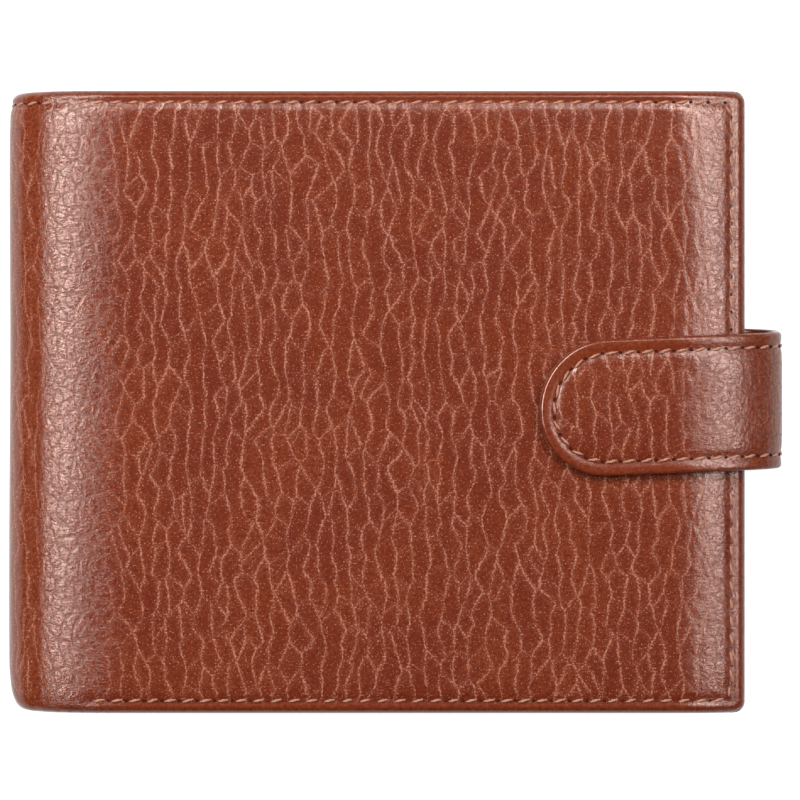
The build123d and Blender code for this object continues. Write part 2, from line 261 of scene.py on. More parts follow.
class Strap:
    """Section of the closing tab, from its tip along the front, round the free edge by a quarter ellipse,
    down, round a quarter circle and in to its root. It lies a little askew, so its middle line climbs with
    s."""

    TURN_LENGTH = 17 * MM
    TURN_DROP = 9 * MM
    FOOT_RADIUS = 5 * MM
    ROOT_X = RIGHT - 2 * MM
    SKEW = 0.0384
    TIP_MIDDLE = TAB_MIDDLE - 0.67 * MM

    def __init__(self):
        flat_end = TAB_REACH - self.TURN_LENGTH
        top, foot = TAB_HIGH[2], TAB_FOOT + self.FOOT_RADIUS
        turn = np.linspace(0, np.pi / 2, 160)
        flat = joined(np.linspace(TAB_LOW[0], flat_end, 60)[:-1], top)
        over = joined(flat_end + self.TURN_LENGTH * np.sin(turn), top - self.TURN_DROP * (1 - np.cos(turn)))
        down = joined(TAB_REACH, np.linspace(top - self.TURN_DROP, foot, 30)[1:-1])
        radius = self.FOOT_RADIUS
        under = joined(TAB_REACH - radius * (1 - np.cos(turn)), foot - radius * np.sin(turn))
        inward = joined(np.linspace(TAB_REACH - radius, self.ROOT_X, 20)[1:], TAB_FOOT)
        path = np.concatenate([flat, over, down, under, inward])
        self.x, self.z = path.T
        self.s = run_along(path)
        self.tx, self.tz = np.gradient(self.x, self.s), np.gradient(self.z, self.s)
        self.end = self.s[-1]
        mean_radius = math.sqrt((self.TURN_LENGTH**2 + self.TURN_DROP**2) / 2)
        self.middle = flat_end - TAB_LOW[0] + np.pi / 2 * mean_radius + (top - self.TURN_DROP - foot) / 2

    def half_width(self, s, inset=0.0):
        """sqrt(R^2 - (R - s)^2) over the round tip, and R past it."""
        radius = TAB_RADIUS - inset
        back = np.clip(TAB_RADIUS - s, 0, radius)
        return np.sqrt(radius**2 - back**2)

    def edge(self, s, y):
        """Distance in from the tab's edge, for y measured from its middle line."""
        return TAB_RADIUS - np.hypot(np.clip(TAB_RADIUS - s, 0, None), y)

    def place(self, s, y, depth):
        """Points for arrays of s, y from the middle line, and depth in from the outer side."""
        x, z, tx, tz = (np.interp(s, self.s, v) for v in (self.x, self.z, self.tx, self.tz))
        return joined(x + depth * tz, self.TIP_MIDDLE + self.SKEW * s + y, z - depth * tx)


def grid_faces(rows, columns, start=0):
    """Quads of a grid of points, row by row."""
    at = start + np.arange(rows * columns).reshape(rows, columns)
    return np.stack([at[:-1, :-1], at[1:, :-1], at[1:, 1:], at[:-1, 1:]], axis=-1).reshape(-1, 4)


def ring_faces(rings, around):
    """Quads between stacked rings, each of so many points around."""
    at = np.arange(rings * around).reshape(rings, around)
    after = np.roll(at, -1, axis=1)
    return np.stack([at[:-1], after[:-1], after[1:], at[1:]], axis=-1).reshape(-1, 4)


def closed_rings(rings):
    """Quads between stacked rings of EIGHT points, with three quads to close each end."""
    first, last = np.arange(EIGHT)[::-1], np.arange(EIGHT) + (rings - 1) * EIGHT
    caps = [ring[pick] for ring in (first, last) for pick in ([0, 1, 2, 3], [0, 3, 4, 7], [4, 5, 6, 7])]
    return np.concatenate([ring_faces(rings, EIGHT), caps])


def border(rows, columns):
    """Indices round a grid's border, in the order its quads run."""
    at = np.arange(rows * columns).reshape(rows, columns)
    return np.concatenate([at[:-1, 0], at[-1, :-1], at[:0:-1, -1], at[0, :0:-1]])


def outward(points, quads):
    """Whether the quads of a closed mesh face outwards: a sixth of the sum of a . (b x c) over its triangles
    is the volume inside it, and it is above 0 if they do."""
    a, b, c, d = (points[quads[:, k]] for k in range(4))
    return ((a * np.cross(b, c)).sum() + (a * np.cross(c, d)).sum()) / 6 >= 0


def make_object(name, points, faces, smooth_faces=True):
    """A mesh object at the origin."""
    mesh = bpy.data.meshes.new(name)
    mesh.from_pydata(points.tolist(), [], faces)
    mesh.validate()
    mesh.polygons.foreach_set("use_smooth", np.full(len(mesh.polygons), smooth_faces))
    mesh.update()
    piece = bpy.data.objects.new(name, mesh)
    bpy.context.scene.collection.objects.link(piece)
    return piece


def add_hide(piece, hide):
    """Adds a UV map named hide, with each point's place on the leather or thread before it was bent, in
    metres."""
    mesh = piece.data
    loops = np.empty(len(mesh.loops), int)
    mesh.loops.foreach_get("vertex_index", loops)
    layer = mesh.uv_layers.new(name="hide")
    layer.data.foreach_set("uv", hide[loops].astype(np.float32).ravel())


def slab(name, place, a, b, outer, inner, offset=(0, 0), traits=None):
    """A closed sheet with a thickness: place(a, b, depth) gives its outer side at depth outer and its inner
    side at depth inner, and a thin wall joins their borders. Each of the traits gives a number from 0 to 1
    for each point of either side. The inner side's part of the hide lies apart from the outer side's."""
    rows, columns = outer.shape
    count = rows * columns
    points = np.concatenate([place(a, b, depth).reshape(-1, 3) for depth in (outer, inner)])
    ring = border(rows, columns)
    after = np.roll(ring, -1)
    wall = np.stack([after, ring, ring + count, after + count], axis=-1)
    quads = np.concatenate([grid_faces(rows, columns), grid_faces(rows, columns, count)[:, ::-1], wall])
    if not outward(points, quads):
        quads = quads[:, ::-1]
    piece = make_object(name, points, quads.tolist())
    flat = joined(a + offset[0], b + offset[1]).reshape(-1, 2)
    add_hide(piece, np.concatenate([flat, flat + INNER_SIDE_OFFSET]))
    for trait, values in (traits or {}).items():
        attribute = piece.data.attributes.new(trait, "FLOAT", "POINT")
        attribute.data.foreach_set("value", np.tile(values.ravel(), 2).astype(np.float32))
    return piece


def finish_traits(past_stitches, side):
    """What the leather's finish and its painted light and shade depend on, from the distance in past the
    stitches: rim is 1 on the smooth strip outside them, seam is 1 along them and weights the painted shade in
    the stitch groove, and side is 1 where the leather stands on edge and weights the painted light from the
    floor."""
    rim = smooth(-past_stitches / (0.5 * MM))
    # Painted shade: the weight that darkens the groove where the thread draws the leather in.
    stitch_groove_shade = bell(past_stitches / (0.45 * MM))
    return {"rim": rim, "stitch_groove_shade": stitch_groove_shade, "side": side + 0 * past_stitches}


def revolve(name, centre, profile, segments=48):
    """A closed surface of revolution about an upright line: r and z of the profile run from pole to pole."""
    profile = np.array(profile)
    turn = np.linspace(0, 2 * np.pi, segments, endpoint=False)[None]
    r, z = profile[1:-1, :1], profile[1:-1, 1:]
    body = joined(r * np.cos(turn), r * np.sin(turn), z).reshape(-1, 3)
    poles = [[0, 0, profile[0, 1]], [0, 0, profile[-1, 1]]]
    rows = len(profile) - 2
    quads = ring_faces(rows, segments)
    at = np.arange(rows * segments).reshape(rows, segments)
    after = np.roll(at, -1, axis=1)
    first, last = rows * segments, rows * segments + 1
    caps = [[first, after[0, k], at[0, k]] for k in range(segments)]
    caps += [[last, at[-1, k], after[-1, k]] for k in range(segments)]
    faces = quads.tolist() + caps
    if not outward(body, quads):
        faces = [face[::-1] for face in faces]
    return make_object(name, np.concatenate([body, poles]) + np.array(centre), faces)


def spaced_along(path, pitch):
    """Points a pitch apart along a path of many points, with the pitch adjusted to end on its last point."""
    run = run_along(path)
    at = np.linspace(0, run[-1], max(int(round(run[-1] / pitch)), 2) + 1)
    return np.stack([np.interp(at, run, path[:, k]) for k in range(path.shape[1])], axis=-1)


def repeated(bodies):
    """Points and faces of many closed stacks of rings, all alike but each in its own place."""
    count, rings = bodies.shape[:2]
    one = closed_rings(rings)
    if not outward(bodies[0].reshape(-1, 3) - bodies[0, 0, 0], one):
        one = one[:, ::-1]
    faces = (one[None] + (np.arange(count) * rings * EIGHT)[:, None, None]).reshape(-1, 4)
    return bodies.reshape(-1, 3), faces.tolist()


def stitch_row(name, points, up, seed):
    """Saddle stitches between needle holes. Each is a short thread of two twisted strands: its section is a
    circle with two lobes that turn along it, its ends narrow and dive into the holes, and it lies slightly
    askew."""
    radius = sizes().thread_radius
    draw = np.random.default_rng(seed)
    start, stop = points[:-1], points[1:]
    along = unit(stop - start)
    up = unit((up[:-1] + up[1:]) / 2)
    side = np.cross(up, along)
    count = len(start)
    span = np.linalg.norm(stop - start, axis=1)
    t = np.linspace(0, 1, 11)
    turn = np.linspace(0, 2 * np.pi, EIGHT, endpoint=False)
    narrow = np.clip(np.sin(np.pi * (0.05 + 0.9 * t)), 0, 1) ** 0.45
    lobes = 1 + 0.16 * np.cos(2 * (turn[None] - 5.5 * t[:, None]))
    section = radius * (narrow[:, None] * lobes)
    rise = radius * (1.35 * np.sin(np.pi * t) ** 0.6 - 0.75)
    gap = 0.17 + draw.uniform(-0.02, 0.02, count)
    reach = gap[:, None] + (1 - 2 * gap[:, None]) * t[None]
    slant = 0.14 + draw.uniform(-0.05, 0.05, count)
    askew = slant[:, None] * (t[None] - 0.5) * span[:, None]
    middle = start[:, None] + along[:, None] * (reach * span[:, None])[..., None]
    middle = middle + side[:, None] * askew[..., None] + up[:, None] * rise[None, :, None]
    ring = side[:, None, None] * (section * np.cos(turn))[None, ..., None]
    ring = ring + up[:, None, None] * (section * np.sin(turn))[None, ..., None]
    piece = make_object(name, *repeated(middle[:, :, None] + ring))
    strand = joined(t[:, None] * 2.2 * MM, turn[None] * 0.27 * MM)
    add_hide(piece, np.broadcast_to(strand[None], (count, *strand.shape)).reshape(-1, 2))
    return piece


def needle_holes(name, points, up):
    """A small dimple at each needle hole, which its material paints dark as the shade inside the hole: four
    rings, given by their share of the radius and their height, make an oval rim with a sunk middle, closed
    underneath."""
    radius = 0.27 * MM
    share, height = np.array([(0.35, -0.02), (1.0, 0.03), (1.15, -0.05), (0.35, -0.12)]).T
    along = unit(np.gradient(points, axis=0))
    up = unit(up)
    side = np.cross(up, along)
    turn = np.linspace(0, 2 * np.pi, EIGHT, endpoint=False)[None, :, None]
    flat = along[:, None] * np.cos(turn) + 0.8 * side[:, None] * np.sin(turn)
    body = points[:, None, None] + radius * share[None, :, None, None] * flat[:, None]
    body = body + up[:, None, None] * height[None, :, None, None] * MM
    return make_object(name, *repeated(body))


# Materials


class Value:
    """A number in a material. Arithmetic on it adds Math nodes."""

    def __init__(self, nodes, socket):
        self.nodes, self.socket = nodes, socket

    def math(self, operation, *values):
        return self.nodes.add("ShaderNodeMath", {"operation": operation}, dict(enumerate(values)))

    def __add__(self, other):
        return self.math("ADD", self, other)

    def __radd__(self, other):
        return self.math("ADD", other, self)

    def __sub__(self, other):
        return self.math("SUBTRACT", self, other)

    def __rsub__(self, other):
        return self.math("SUBTRACT", other, self)

    def __mul__(self, other):
        return self.math("MULTIPLY", self, other)

    def __rmul__(self, other):
        return self.math("MULTIPLY", other, self)

    def __truediv__(self, other):
        return self.math("DIVIDE", self, other)

    def above(self, least):
        return self.math("MAXIMUM", self, least)

    def absolute(self):
        return self.math("ABSOLUTE", self)

    def wave(self):
        """(1 + sin) / 2."""
        return self.math("SINE", self) * 0.5 + 0.5

    def part(self, axis):
        """One part of a vector."""
        return self.nodes.add("ShaderNodeSeparateXYZ", None, {0: self}, axis)

    def step(self, low, high):
        """0 below low and 1 above high, with a smooth step between them. low may be above high."""
        inputs = {"Value": self, "From Min": low, "From Max": high}
        return self.nodes.add("ShaderNodeMapRange", {"interpolation_type": "SMOOTHSTEP"}, inputs)


class Nodes:
    """The nodes of one material."""

    def __init__(self, name):
        self.material = bpy.data.materials.new(name)
        self.material.use_nodes = True
        self.tree = self.material.node_tree
        self.surface = self.tree.nodes["Principled BSDF"]

    def add(self, kind, settings=None, inputs=None, output=0):
        """A node of that type, with its settings made first and then its inputs fed with numbers or links."""
        node = self.tree.nodes.new(kind)
        for key, value in (settings or {}).items():
            setattr(node, key, value)
        for key, value in (inputs or {}).items():
            self.feed(node.inputs[key], value)
        return Value(self, node.outputs[output])

    def feed(self, socket, value):
        if isinstance(value, Value):
            self.tree.links.new(value.socket, socket)
        else:
            socket.default_value = value

    def finish(self, **inputs):
        """Feeds the surface shader. A name's underscores stand for spaces."""
        for key, value in inputs.items():
            self.feed(self.surface.inputs[key.replace("_", " ")], value)
        return self.material

    def hide(self):
        """Place on the leather or cloth before it was bent, in millimetres."""
        flat = self.add("ShaderNodeUVMap", {"uv_map": "hide"})
        return self.add("ShaderNodeVectorMath", {"operation": "SCALE"}, {0: flat, "Scale": 1 / MM})

    def object(self):
        """Place on the piece in millimetres."""
        place = self.add("ShaderNodeTexCoord", output="Object")
        return self.add("ShaderNodeVectorMath", {"operation": "SCALE"}, {0: place, "Scale": 1 / MM})

    def trait(self, name):
        """One of the numbers that a mesh gives for each of its points."""
        return self.add("ShaderNodeAttribute", {"attribute_name": name}, output="Fac")

    def noise(self, place, per_mm, detail=3.0, roughness=0.55, output="Fac", stretch=(1, 1, 1)):
        """Noise from 0 to 1, with per_mm patches to the millimetre, narrowed by the stretch."""
        if stretch != (1, 1, 1):
            place = self.stretched(place, stretch)
        inputs = {"Vector": place, "Scale": per_mm, "Detail": detail, "Roughness": roughness}
        return self.add("ShaderNodeTexNoise", None, inputs, output)

    def stretched(self, place, factors):
        return self.add("ShaderNodeVectorMath", {"operation": "MULTIPLY"}, {0: place, 1: factors})

    def warped(self, place, per_mm, amount, detail=2.0):
        """place moved about by up to amount millimetres."""
        push = self.noise(place, per_mm, detail, output="Color")
        push = self.add("ShaderNodeVectorMath", {"operation": "SUBTRACT"}, {0: push, 1: (0.5, 0.5, 0.5)})
        push = self.add("ShaderNodeVectorMath", {"operation": "SCALE"}, {0: push, "Scale": 2 * amount})
        return self.add("ShaderNodeVectorMath", {"operation": "ADD"}, {0: place, 1: push})

    def cells(self, place, randomness=1.0):
        """Distance to the edge of the cell that a point is in."""
        settings = {"feature": "DISTANCE_TO_EDGE", "voronoi_dimensions": "2D"}
        inputs = {"Vector": place, "Scale": 1, "Randomness": randomness}
        return self.add("ShaderNodeTexVoronoi", settings, inputs)

    def apart(self, place, randomness=1.0):
        """Vector between the centres of the two cells nearest to each point."""
        settings = {"voronoi_dimensions": "2D"}
        inputs = {"Vector": place, "Scale": 1, "Randomness": randomness}
        first = self.add("ShaderNodeTexVoronoi", {**settings, "feature": "F1"}, inputs, "Position")
        second = self.add("ShaderNodeTexVoronoi", {**settings, "feature": "F2"}, inputs, "Position")
        return self.add("ShaderNodeVectorMath", {"operation": "SUBTRACT"}, {0: second, 1: first})

    def mix(self, share, low, high):
        """The colour low where share is 0, and high where it is 1."""
        low, high = (v if isinstance(v, Value) else (*v, 1) for v in (low, high))
        return self.add("ShaderNodeMix", {"data_type": "RGBA"}, {0: share, 6: low, 7: high}, 2)

    def bump(self, height, distance):
        """A height of 1 stands distance metres proud."""
        return self.add("ShaderNodeBump", None, {"Height": height, "Distance": distance, "Strength": 1.0})


def milled_leather():
    """Milled full-grain leather. Long cells stand in a net of cracks that run mostly along Y: a crack fades
    where the line between the centres of the cells beside it lies along Y. Pale specks gather along the
    cracks. Where the leather bends, beside the spine and the free edge, the cells are short and round, with
    painted shade in their furrows and fold lines. Painted light makes the leather a lighter amber where it
    stands on edge, the rim outside the stitches is plain and a lighter amber, and painted shade darkens the
    groove along the stitches. A wax finish is duller in the cracks."""
    colour, size = colours(), sizes()
    nodes = Nodes("milled_leather")
    place = nodes.hide()
    rim, stitch_groove_shade, side = (nodes.trait(name) for name in ("rim", "stitch_groove_shade", "side"))
    plain = 1 - 0.85 * rim
    run = place.part("X")
    bent = nodes.warped(place, 0.07, 2.2)
    bent = nodes.warped(bent, 1.1, 0.34, 4.0)
    tall = nodes.stretched(bent, (MM / size.grain_width, MM / size.grain_length, 1))
    between = nodes.apart(tall, 0.85)
    across, along = between.part("X").absolute(), between.part("Y").absolute()
    upright = (across / (across + along + 0.001)).step(-0.03, 0.55)
    long_edge = nodes.cells(tall, 0.85)
    short_edge = nodes.cells(nodes.stretched(nodes.warped(bent, 0.4, 0.5), (0.50, 0.40, 1)), 1.0)
    by_spine = run.step(26.0, 15.0) * run.step(8.0, 12.0)
    by_edge = 0.7 * run.step(109.0, 117.0) * run.step(140.0, 130.0)
    rounder = by_spine + by_edge
    grit = (nodes.noise(place, 3.8, 1, 0.5) - 0.5) * 4.0 + 0.5
    broken = nodes.noise(place, 0.30, 3).step(0.30, 0.62)
    near = (1 - long_edge * (2.0 - upright) / 0.16).above(0.0)
    crack = near * near * upright * (0.35 + 0.65 * broken) * plain * (1 - rounder)
    furrow = short_edge.step(0.13, 0.0) * rounder
    ripple = nodes.noise(bent, 0.55, 2, 0.5, stretch=(1, 5.5, 1))
    fold_line = (1 - (2 * ripple - 1).absolute()).step(0.88, 1.0) * rounder
    around = long_edge.step(0.40, 0.0) * upright + 0.6 * short_edge.step(0.10, 0.0)
    speck = (0.85 * grit + 0.50 * crack + 0.16 * around * (1 - rounder)).step(0.86, 1.22)
    fine = nodes.noise(place, 1.7, 4, 0.65)
    cloud = nodes.noise(place, 0.06, 3).step(0.40, 0.66)
    mottle = nodes.noise(place, 0.42, 3, 0.6).step(0.32, 0.68)
    base = nodes.mix(0.65 * cloud + 0.35 * mottle, colour.leather, colour.leather_warm)
    # Painted light: lighter amber where the leather stands on edge, down the spine and the tab's bend, as if
    # lit from the floor; the rim is a lighter tone too.
    base = nodes.mix(0.9 * side + 0.55 * rim, base, colour.leather_amber)
    base = nodes.mix(0.10 * long_edge.step(0.42, 0.0) * upright * plain, base, colour.leather_pale)
    base = nodes.mix(0.85 * fine.step(0.66, 0.34), base, colour.leather_dark)
    # Painted shade in the furrows and fold lines of the short cells.
    base = nodes.mix(0.90 * furrow + 0.40 * fold_line, base, colour.leather_dark)
    base = nodes.mix(0.12 * crack + 0.88 * speck * plain, base, colour.leather_pale)
    # Painted shade along the groove that the stitches draw into the leather.
    base = nodes.mix(0.45 * stitch_groove_shade, base, colour.leather_dark)
    pillow = long_edge.step(0.0, 0.34) * (1 - rounder) + 0.75 * short_edge.step(0.0, 0.26) * rounder
    wrinkle = nodes.noise(bent, 0.9, 3, 0.6, stretch=(1, 3.2, 1)) * (0.3 + 0.15 * rounder)
    height = 0.50 * pillow * (0.4 + 0.6 * upright) * plain + 0.9 * wrinkle
    height = height + 0.45 * (1 + rounder) * fine - 0.25 * fold_line
    return nodes.finish(
        Base_Color=base,
        Roughness=0.18 + 0.20 * crack + 0.25 * furrow + 0.06 * fine,
        Normal=nodes.bump(height, 0.075 * MM),
        Specular_IOR_Level=0.6,
        Specular_Tint=(1.0, 0.80, 0.72, 1.0),
    )


def smooth_leather():
    """Smoother leather of the panels and pockets, with small round cells and faint cracks."""
    colour = colours()
    nodes = Nodes("smooth_leather")
    place = nodes.hide()
    bent = nodes.warped(place, 0.6, 0.3)
    edge = nodes.cells(nodes.stretched(bent, (0.95, 0.8, 1)), 1.0)
    crack = edge.step(0.10, 0.01)
    mottle = nodes.noise(place, 0.12, 4).step(0.3, 0.7)
    pore = nodes.noise(place, 5.0, 2, 0.6)
    deep = tuple(0.72 * c for c in colour.inner)
    base = nodes.mix(mottle, deep, colour.inner)
    base = nodes.mix(crack * (0.20 + 0.5 * mottle), base, colour.inner_pale)
    return nodes.finish(
        Base_Color=base,
        Roughness=0.34 + 0.14 * crack + 0.08 * mottle,
        Normal=nodes.bump(edge.step(0.0, 0.3) * 0.8 + pore * 0.2, 0.07 * MM),
        Specular_IOR_Level=0.5,
    )


def twill():
    """Fine twill: warp threads that cross the weft on a diagonal."""
    colour = colours()
    nodes = Nodes("twill")
    place = nodes.hide()
    x, y = place.part("X"), place.part("Y")
    weave = (x * 14.0).wave() * 0.5 + (x * 7.0 + y * 7.0).wave() * 0.5
    fluff = nodes.noise(place, 2.5, 3, 0.6)
    share = 0.6 * weave + 0.5 * fluff - 0.2
    pale = tuple(1.9 * c for c in colour.lining)
    return nodes.finish(
        Base_Color=nodes.mix(share, colour.lining, pale),
        Roughness=0.80 + 0.1 * fluff,
        Normal=nodes.bump(weave, 0.08 * MM),
        Sheen_Weight=0.2,
    )


def waxed_thread():
    """Waxed twisted thread: two plies that wind round each other, with painted shade between them."""
    colour = colours()
    nodes = Nodes("waxed_thread")
    place = nodes.hide()
    x, y = place.part("X"), place.part("Y")
    ply = (x * 14.0 + y * 7.4).wave()
    fluff = nodes.noise(nodes.object(), 3.0, 2)
    dark = tuple(0.45 * c for c in colour.thread)
    return nodes.finish(
        # Painted shade: the colour darkens in the groove between the plies.
        Base_Color=nodes.mix(0.35 + 0.45 * ply + 0.3 * fluff, dark, colour.thread),
        Roughness=0.5 + 0.2 * fluff,
        Normal=nodes.bump(ply, 0.05 * MM),
        Sheen_Weight=0.15,
    )


def needle_hole_shade():
    """Painted shade: the inside of a needle hole in waxed leather, painted near-black and without
    reflections.
    """
    nodes = Nodes("needle_hole_shade")
    fluff = nodes.noise(nodes.object(), 4.0, 2)
    # Painted shade: dark brown that stands in for the shadow inside the hole.
    base = nodes.mix(fluff, (0.016, 0.004, 0.002), (0.034, 0.009, 0.004))
    return nodes.finish(Base_Color=base, Roughness=0.9 + 0.1 * fluff, Specular_IOR_Level=0.0)


def aged_brass():
    """Brushed antique brass with a darker tarnish in patches."""
    colour = colours()
    nodes = Nodes("aged_brass")
    place = nodes.object()
    brush = nodes.noise(place, 0.6, 4, 0.6, stretch=(1, 14, 1))
    tarnish = nodes.noise(place, 0.5, 4).step(0.42, 0.70)
    dark = tuple(0.42 * c for c in colour.metal)
    return nodes.finish(
        Base_Color=nodes.mix(0.75 * tarnish, colour.metal, dark),
        Metallic=1.0,
        Roughness=0.26 + 0.16 * brush + 0.14 * tarnish,
        Normal=nodes.bump(brush, 0.015 * MM),
    )


def fibre_board():
    """Bonded fibre board, with short fibres in its surface."""
    colour = colours()
    nodes = Nodes("fibre_board")
    place = nodes.object()
    fibre = nodes.noise(place, 0.9, 4, 0.7, stretch=(1, 5, 1))
    pale = tuple(min(1.25 * c, 1) for c in colour.board)
    return nodes.finish(
        Base_Color=nodes.mix(fibre, colour.board, pale),
        Roughness=0.85 + 0.1 * fibre,
        Normal=nodes.bump(fibre, 0.05 * MM),
    )


MATERIALS = {
    "outer_leather": milled_leather,
    "inner_leather": smooth_leather,
    "lining_fabric": twill,
    "padding": fibre_board,
    "thread": waxed_thread,
    "snap_metal": aged_brass,
    "hole": needle_hole_shade,
}


def paint(piece, finish):
    """Gives a piece one of the materials, which is made the first time it is asked for."""
    name = MATERIALS[finish].__name__
    material = bpy.data.materials.get(name) or MATERIALS[finish]()
    piece.data.materials.clear()
    piece.data.materials.append(material)


def dress(piece, finish, nodes=(), slot=None):
    """Paints a piece and hides the CAD nodes that it stands for."""
    paint(piece, finish)
    slot or finish
    if nodes:
        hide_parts(*nodes)
    return piece


# Pieces


def bend_spine(piece, front):
    """Bakes a piece's transform into its mesh; either half is treated the same."""
    if front:
        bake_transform(piece)
    else:
        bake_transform(piece)


def cover_dip(half, s, y):
    """Groove where the thread draws the leather in, along the top, free and bottom edges."""
    size = sizes()
    width = 0.75 * MM
    past_fold = smooth((s - half.s_at(size.panel_start) + 1 * MM) / (2 * MM))
    before_side = smooth((half.end - s - size.stitch_side + 1 * MM) / (1 * MM))
    top = bell((HALF_HEIGHT - y - size.stitch_top) / width) * before_side
    bottom = bell((HALF_HEIGHT + y - size.stitch_bottom) / width) * past_fold * before_side
    inside = smooth((HALF_HEIGHT - np.abs(y) - 1 * MM) / (1 * MM))
    side = bell((half.end - s - size.stitch_side) / width) * inside
    return 0.24 * MM * np.maximum(np.maximum(top, bottom), side)


def make_cover(front):
    """Outer leather of one half and half of the spine: the section carried along Y, with quarter-round turned
    edges, a groove under the stitches, a crease beside the spine, and slow waves of a fraction of a
    millimetre."""
    size = sizes()
    half = Half(front)
    s = graded(0, half.end, 236, 0.55)[:, None]
    y = graded(-HALF_HEIGHT, HALF_HEIGHT, 176, 0.75)[None]
    edges = (half.end - s, HALF_HEIGHT - y, HALF_HEIGHT + y)
    turned = rounded(edges, size.rim / 2)
    crease = 0.14 * MM * bell((np.interp(s, half.s, half.x) - 3.9 * MM) / (0.8 * MM))
    waves = 0.05 * MM * (np.sin(s / (9 * MM) + 2.1 * np.sin(y / (23 * MM))) + np.sin(y / (11 * MM) + 1.3))
    near_side = bell((half.end - s - 6 * MM) / (4 * MM))
    waves = waves + 0.11 * MM * near_side * np.sin(y / (8.5 * MM) + 0.9 + np.sin(y / (31 * MM)))
    outer = turned + cover_dip(half, s, y) + crease + waves * smooth((half.end - s) / (8 * MM))
    leather = 1.25 * MM
    board_edge = smooth((nearest(*edges) - 1.6 * MM) / (0.8 * MM))
    inner = size.rim - turned - (size.rim - leather) * board_edge
    inner = np.maximum(inner, outer + 0.1 * MM)
    name = "front_leather" if front else "back_leather"
    lines = (size.stitch_side, size.stitch_top, size.stitch_bottom)
    past_stitches = nearest(*(edge - line for edge, line in zip(edges, lines)))
    # The last trait weights the painted light on the spine, where the leather stands on edge.
    traits = finish_traits(past_stitches, smooth((17 * MM - s) / (10 * MM)))
    piece = slab(name, half.place, s, y, outer, inner, (0.0, 0.0) if front else (0.0, 0.15), traits)
    dress(piece, "outer_leather", ("front_cover", "spine_cover") if front else ("back_cover",))
    bend_spine(piece, front)


def edge_path(half, start):
    """s and y along the top, free and bottom stitch lines, with the corners cut."""
    size = sizes()
    far = half.end - size.stitch_side
    high, low = HALF_HEIGHT - size.stitch_top, size.stitch_bottom - HALF_HEIGHT
    cut = 0.8 * MM
    corners = [(0.5 * MM, high), (far - cut, high), (far, high - cut)]
    corners += [(far, low + cut), (far - cut, low), (start, low)]
    return spaced_along(np.array(corners), FINE_STEP)


def surface_row(place, path, depth, outward=1.0):
    """Needle holes along a path on a surface, and the direction that stands off it at each."""
    run = run_along(place(path[:, 0], path[:, 1], depth))
    count = max(int(round(run[-1] / sizes().stitch_pitch)), 2)
    at = np.linspace(0, run[-1], count + 1)
    a, b = (np.interp(at, run, path[:, k]) for k in range(2))
    points = place(a, b, depth)
    return points, place(a, b, depth - 0.1 * MM * outward) - points


def make_cover_stitches(front):
    """The row of stitches round one half's cover, which starts on the spine along the top edge."""
    half = Half(front)
    path = edge_path(half, half.s_at(sizes().panel_start + 1 * MM))
    points, up = surface_row(half.place, path, GROOVE)
    name = "front" if front else "back"
    nodes = ("front_edge_thread", "spine_thread") if front else ("back_edge_thread",)
    row = dress(stitch_row(f"{name}_stitches", points, up, 11 if front else 12), "thread", nodes)
    holes = dress(needle_holes(f"{name}_needle_holes", points, up), "hole", slot="outer_leather")
    bend_spine(row, front)
    bend_spine(holes, front)


def make_layer(name, front, depths, s_range, y_range, finish, nodes, counts=(60, 40)):
    """A sheet that follows one half's section between two depths, with quarter-round edges."""
    half = Half(front)
    s = graded(s_range[0], s_range[1], counts[0], 0.7)[:, None]
    y = graded(y_range[0], y_range[1], counts[1], 0.8)[None]
    edges = [s_range[1] - s, y - y_range[0], y_range[1] - y]
    if s_range[0] > 0:
        edges.append(s - s_range[0])
    turned = rounded(edges, (depths[1] - depths[0]) / 2)
    piece = slab(name, half.place, s, y, depths[0] + turned, depths[1] - turned, (0.0, 0.5 + depths[0] * 40))
    return dress(piece, finish, nodes)


def node_depths(node, front):
    """How far below one half's outer face a CAD node lies."""
    low, high = (corner[2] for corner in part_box(node))
    return (THICKNESS - high, THICKNESS - low) if front else (low, high)


def make_padding(front):
    """The board under one half's leather."""
    name = "front_padding" if front else "back_padding"
    half = Half(front)
    inset = 2.6 * MM
    ends = (inset - HALF_HEIGHT, HALF_HEIGHT - inset)
    low, high = node_depths(name, front)
    start = half.s_at(sizes().shoulder_length - 3 * MM)
    depths, s_range = (low + 0.1 * MM, high), (start, half.end - inset)
    board = make_layer(f"{name}_board", front, depths, s_range, ends, "padding", (name,))
    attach(board, "front_half" if front else "back_half")


def make_cloth(name, nodes, front, reach, ends):
    """A sheet of lining cloth from the middle of the spine to reach, at its first CAD node's depth, stretched
    over the piece under it. Its flat size is its length along the section by its height."""
    depths = node_depths(nodes[0], front)
    cloth = make_layer(name, front, depths, (0, reach), ends, "lining_fabric", nodes, (90, 40))
    bend_spine(cloth, front)


def make_lining(front):
    """The lining cloth of one half and half of the spine, and the banknote divider beside it."""
    side = "front" if front else "back"
    end = Half(front).end
    inset = 1.7 * MM
    ends = (inset - HALF_HEIGHT, HALF_HEIGHT - inset)
    nodes = (f"{side}_lining", "spine_lining") if front else (f"{side}_lining",)
    make_cloth(f"{side}_lining_cloth", nodes, front, end - inset, ends)
    nodes = (f"divider_{side}", "divider_spine") if front else (f"divider_{side}",)
    ends = tuple(corner[1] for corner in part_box(nodes[0]))
    make_cloth(f"{side}_divider", nodes, front, end - 1.2 * MM, ends)


def make_panel(name, node, front):
    """An inner leather panel or card pocket, whose size and depth are its CAD node's."""
    half = Half(front)
    low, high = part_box(node)
    depths = node_depths(node, front)
    s_range = (half.s_at(low[0] - LEFT), half.s_at(high[0] - LEFT))
    piece = make_layer(name, front, depths, s_range, (low[1], high[1]), "inner_leather", (node,), (90, 70))
    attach(piece, "front_half" if front else "back_half")
    return piece


